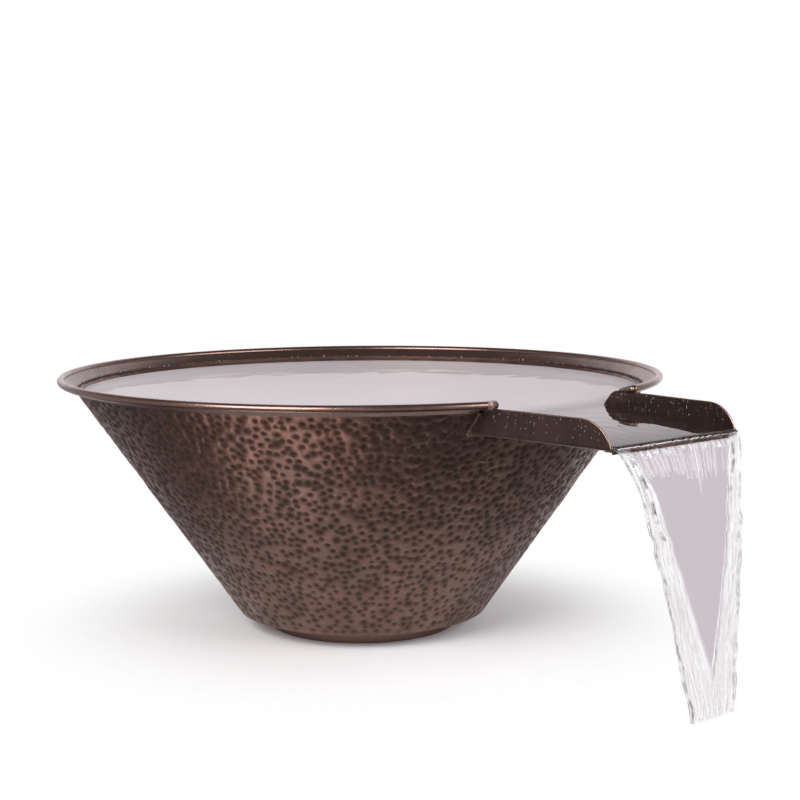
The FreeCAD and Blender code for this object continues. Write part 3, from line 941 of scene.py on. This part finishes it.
def bead_tail(side, lump):
    """Solder that runs from the rolled rim's cut end down to the top of a cheek."""
    line = cheek_top_line(1)
    mirror = (1, side, 1)
    height = np.interp(CORNER_X, line[:, 0], line[:, 2])
    corner = np.array([CORNER_X, cheek_outer(CORNER_X) - SHEET / 2, height]) * mirror
    caps = corners("rim_end_caps")
    cap = caps[caps[:, 1] > 0].mean(axis=0) * mirror
    # along the rim at the +Y end; at the -Y end it leans out of the rim
    back = np.array([-cap[1], side * cap[0], 0]) / np.hypot(cap[0], cap[1])
    path = resample([cap + back * 9 * MM, cap, cap * 0.35 + corner * 0.65 + (0, 0, 0.8 * MM),
                     corner + (4 * MM, 0, 0)], 0.6 * MM)
    run = np.linspace(0, 1, len(path))
    lumps = Waves(84 + side, 30, 3 * MM, 11 * MM)(path[:, 0], path[:, 2])
    radii = 3.75 - 2.3 * smooth(0.40, 1.0, run) + lump * 1.6 * lumps * smooth(0.15, 0.5, run)
    return tube(path, radii * MM * closed_ends(run, 0.02, 0.05), (0, 0.3, 1), 14)


def cheek_solder(side):
    """Solder up the joint of a cheek and the bowl's wall."""
    heights = np.linspace(TRAY_LOW - 0.5 * MM, WALL_HIGH - 1.0 * MM, 30)
    theta = np.array([notch_theta(z) for z in heights])
    r = wall_outer(heights) + 0.4 * MM
    path = np.stack([r * np.cos(theta), side * (r * np.sin(theta) + 0.5 * MM), heights], axis=1)
    path = resample(path, 0.8 * MM)
    run = np.linspace(0, 1, len(path))
    lumps = Waves(80 + side, 30, 3 * MM, 12 * MM)(path[:, 2], path[:, 0])
    radii = (1.05 + 0.28 * lumps + 0.9 * smooth(0.18, 0.0, run)) * closed_ends(run, 0.03, 0.03)
    return tube(path, radii * MM, (0.3, 1, 0))


def build_solder():
    parts = [bead_tail(-1, 0.22), bead_tail(1, 0.05), cheek_solder(-1), cheek_solder(1)]
    piece("solder_runs", *gather(parts), [SOLDER], "solder", angle=60)


def dome(place, up, wide_r, tall_r, height):
    """A droplet on a face that looks along up. It reaches further below its middle than above."""
    up = np.asarray(up) / np.linalg.norm(up)
    tall = np.array([0.0, 0.0, 1.0])
    tall = tall - up * tall.dot(up)
    tall = tall / np.linalg.norm(tall)
    wide = np.cross(up, tall)
    points = [place + up * height]
    for share, lift in ((0.55, 0.80), (0.90, 0.38), (1.0, -0.12)):
        for k in range(DROPLET_SIDES):
            a = 2 * math.pi * k / DROPLET_SIDES
            long = tall_r * (1.0 if math.cos(a) > 0 else 1.25)
            reach = wide * wide_r * math.sin(a) + tall * long * math.cos(a)
            points.append(place + up * height * lift + share * reach)
    points.append(place - up * height * 0.12)
    index = np.arange(3 * DROPLET_SIDES).reshape(3, DROPLET_SIDES) + 1
    return points, shell(index, 0, len(points) - 1)


def build_droplets():
    """Splashes on both faces of each cheek, and a row of droplets along the crease under the rim."""
    pick = np.random.default_rng(90)
    parts = []
    top = cheek_top_line(1)
    for side, outward in ((-1, -1), (-1, 1), (1, 1), (1, -1)):
        for _ in range(DROPLETS_PER_FACE):
            x = pick.uniform(top[0, 0] + 14 * MM, LIP_X - 6 * MM)
            crest = np.interp(x, top[:, 0], top[:, 2])
            z = crest - 1.2 * MM - pick.uniform(0, 1) ** 1.4 * (crest - TRAY_FLOOR - 8 * MM)
            y = side * (cheek_outer(x) - (0 if side == outward else SHEET))
            size = pick.uniform(0.22, 0.48) * MM
            parts.append(dome(np.array([x, y, z]), (FLARE, outward, 0),
                              size, size * pick.uniform(1.1, 2.8), size * 0.6))
    r = wall_inner(WALL_HIGH)
    theta = RIM_END
    while theta < 2 * math.pi - RIM_END:
        theta += pick.uniform(3, 17) * MM / r
        size = pick.uniform(0.45, 1.1) * MM
        inward = np.array([-math.cos(theta), -math.sin(theta), 0.7])
        z = WALL_HIGH + pick.uniform(-0.6, 0.8) * MM
        place = np.array([r * math.cos(theta), r * math.sin(theta), z])
        parts.append(dome(place + inward * 0.1 * MM, inward, size, size * 1.1, size * 0.7))
    piece("droplets", *gather(parts), [DROPLET], "water", angle=80)


build_edge_highlights()
build_solder()
build_droplets()


# ---- floor, light and camera ----
CAMERA_PLACE = (1.2942, -1.0768, 0.4265)
CAMERA_TURN = math.radians(50.24)  # of the camera's side of the bowl, from -Y towards +X
CAMERA_YAW = math.radians(1.35)
CAMERA_PITCH = math.radians(6.66)
CAMERA_ROLL = math.radians(-0.32)
FLOOR_REACH = 6.0
FLOOR_SIDES = 64


def build_floor():
    """A pale floor that fades out round the foot, into the white behind the object."""
    mesh = bpy.data.meshes.new("studio_floor")
    turns = [2 * math.pi * i / FLOOR_SIDES for i in range(FLOOR_SIDES)]
    points = [(0, 0, 0)] + [(FLOOR_REACH * math.cos(t), FLOOR_REACH * math.sin(t), 0) for t in turns]
    mesh.from_pydata(points, [], [(0, i + 1, (i + 1) % FLOOR_SIDES + 1) for i in range(FLOOR_SIDES)])
    floor = bpy.data.objects.new("studio_floor", mesh)
    bpy.context.scene.collection.objects.link(floor)
    p = Paint("studio_floor")
    x, y, _ = p.split(p.place)
    r = p.distance(x, y)
    seen = p.span(r, 0.10, 0.40, 1.0, 0.0, "SMOOTHERSTEP")
    felt = p.span(r, 0.18, 0.33, 1.0, 0.0, "SMOOTHERSTEP")
    camera_ray = p.node("ShaderNodeLightPath").outputs["Is Camera Ray"]
    solid = p.node("ShaderNodeMix", data_type="FLOAT", i0=camera_ray, i2=felt, i3=seen).outputs[0]
    clear = p.node("ShaderNodeBsdfTransparent").outputs[0]
    pale = p.mix(p.noise(4.0, 2.0), (0.92, 0.915, 0.92), (0.94, 0.935, 0.94))
    mesh.materials.append(p.close(p.blend(solid, clear, p.matt(pale))))


class Studio(Nodes):
    """What the world looks like in each direction."""

    def __init__(self):
        world = bpy.data.worlds.new("studio")
        bpy.context.scene.world = world
        world.use_nodes = True
        super().__init__(world.node_tree)
        self.way = self.node("ShaderNodeTexCoord").outputs["Generated"]

    def cosine(self, way, direction):
        made = self.node("ShaderNodeVectorMath", operation="DOT_PRODUCT", i0=way, i1=direction)
        return made.outputs["Value"]

    def lobe(self, towards_camera, camera_left, up, start, end):
        """1 in a direction seen from the bowl, falling to 0 as its cosine falls from end to start."""
        turned = Matrix.Rotation(CAMERA_TURN, 3, "Z") @ Vector((-camera_left, -towards_camera, up))
        return self.span(self.cosine(self.way, turned.normalized()), start, end, shape="SMOOTHERSTEP")

    def level(self, low, high):
        """0 below one height on the sphere round the bowl and 1 above the other."""
        return self.span(self.split(self.way)["Z"], low, high, shape="SMOOTHERSTEP")

    def heading(self, centre, inner, outer):
        """1 within inner degrees of a heading and 0 beyond outer; heading 0 is away from the camera."""
        turn = CAMERA_TURN - math.radians(centre)
        flat = self.node("ShaderNodeVectorMath", operation="MULTIPLY", i0=self.way, i1=(1, 1, 0))
        unit = self.node("ShaderNodeVectorMath", operation="NORMALIZE", i0=flat.outputs[0])
        along = self.cosine(unit.outputs[0], Vector((-math.sin(turn), math.cos(turn), 0)))
        start, end = math.cos(math.radians(outer)), math.cos(math.radians(inner))
        return self.span(along, start, end, shape="SMOOTHSTEP")

    def band(self, heading, low, high):
        return self.times(heading, self.times(self.level(*low), self.level(*high)))


def build_world():
    """The camera sees plain white; everything else sees a room with bright and dark areas."""
    s = Studio()
    room = s.mix(s.level(-0.80, -0.30), (0.038, 0.032, 0.032), (0.50, 0.455, 0.485))
    room = s.mix(s.level(0.30, 0.50), room, (0.16, 0.145, 0.145))
    white = s.band(s.heading(9, 22, 30), (-0.5, -0.4), (0.30, 0.10))
    room = s.mix(white, room, (1.05, 1.03, 1.05))
    lilac = s.band(s.heading(9, 7.5, 11), (-0.42, -0.34), (0.30, 0.10))
    room = s.mix(lilac, room, (0.615, 0.555, 0.60))
    room = s.mix(s.lobe(0.13, 0.34, -0.93, 0.960, 0.99), room, (3.2, 2.80, 2.70))
    room = s.mix(s.lobe(-0.245, -0.584, -0.773, 0.965, 0.99), room, (0.60, 0.53, 0.52))
    glow = s.times(s.lobe(-1.0, 0.0, 0.2, 0.70, 0.93), s.level(0.015, 0.07))
    room = s.mix(glow, room, (1.06, 1.00, 1.04))
    camera_ray = s.node("ShaderNodeLightPath").outputs["Is Camera Ray"]
    shade = s.node("ShaderNodeBackground", Color=s.mix(camera_ray, room, (1.0, 1.0, 1.0)))
    s.node("ShaderNodeOutputWorld", Surface=shade.outputs[0])


def area_light(name, away, height, distance, wide, tall, power, colour):
    """A softbox: away is its angle round the bowl, measured from the camera towards camera-left."""
    aim = Vector((0, 0, 0.1))
    turn = CAMERA_TURN - math.radians(away)
    up = math.radians(height)
    place = Vector((math.sin(turn) * math.cos(up), -math.cos(turn) * math.cos(up), math.sin(up))) * distance
    data = bpy.data.lights.new(name, "AREA")
    data.shape = "RECTANGLE"
    data.size = wide
    data.size_y = tall
    data.energy = power
    data.color = colour
    light = bpy.data.objects.new(name, data)
    light.location = place + aim
    light.rotation_euler = (aim - light.location).to_track_quat("-Z", "Y").to_euler()
    bpy.context.scene.collection.objects.link(light)


def build_camera():
    data = bpy.data.cameras.new("camera")
    data.lens = 74.35
    data.sensor_width = 36
    data.clip_start = 0.02
    data.clip_end = 50
    camera = bpy.data.objects.new("camera", data)
    level = math.cos(CAMERA_PITCH)
    forward = Vector((math.sin(CAMERA_YAW) * level, math.cos(CAMERA_YAW) * level, -math.sin(CAMERA_PITCH)))
    forward = Matrix.Rotation(CAMERA_TURN, 3, "Z") @ forward
    right = forward.cross(Vector((0, 0, 1))).normalized()
    up = right.cross(forward)
    right, up = (right * math.cos(CAMERA_ROLL) + up * math.sin(CAMERA_ROLL),
                 -right * math.sin(CAMERA_ROLL) + up * math.cos(CAMERA_ROLL))
    turn = Matrix((right, up, -forward)).transposed().to_4x4()
    camera.matrix_world = Matrix.Translation(CAMERA_PLACE) @ turn
    bpy.context.scene.collection.objects.link(camera)
    bpy.context.scene.camera = camera


build_floor()
build_world()
area_light("key", 34, 30, 1.9, 1.2, 1.0, 34, (1.0, 0.99, 0.985))
area_light("fill", -60, 26, 2.3, 1.8, 1.0, 30, (0.98, 0.985, 1.0))
build_camera()
bpy.context.scene.view_settings.view_transform = "Standard"
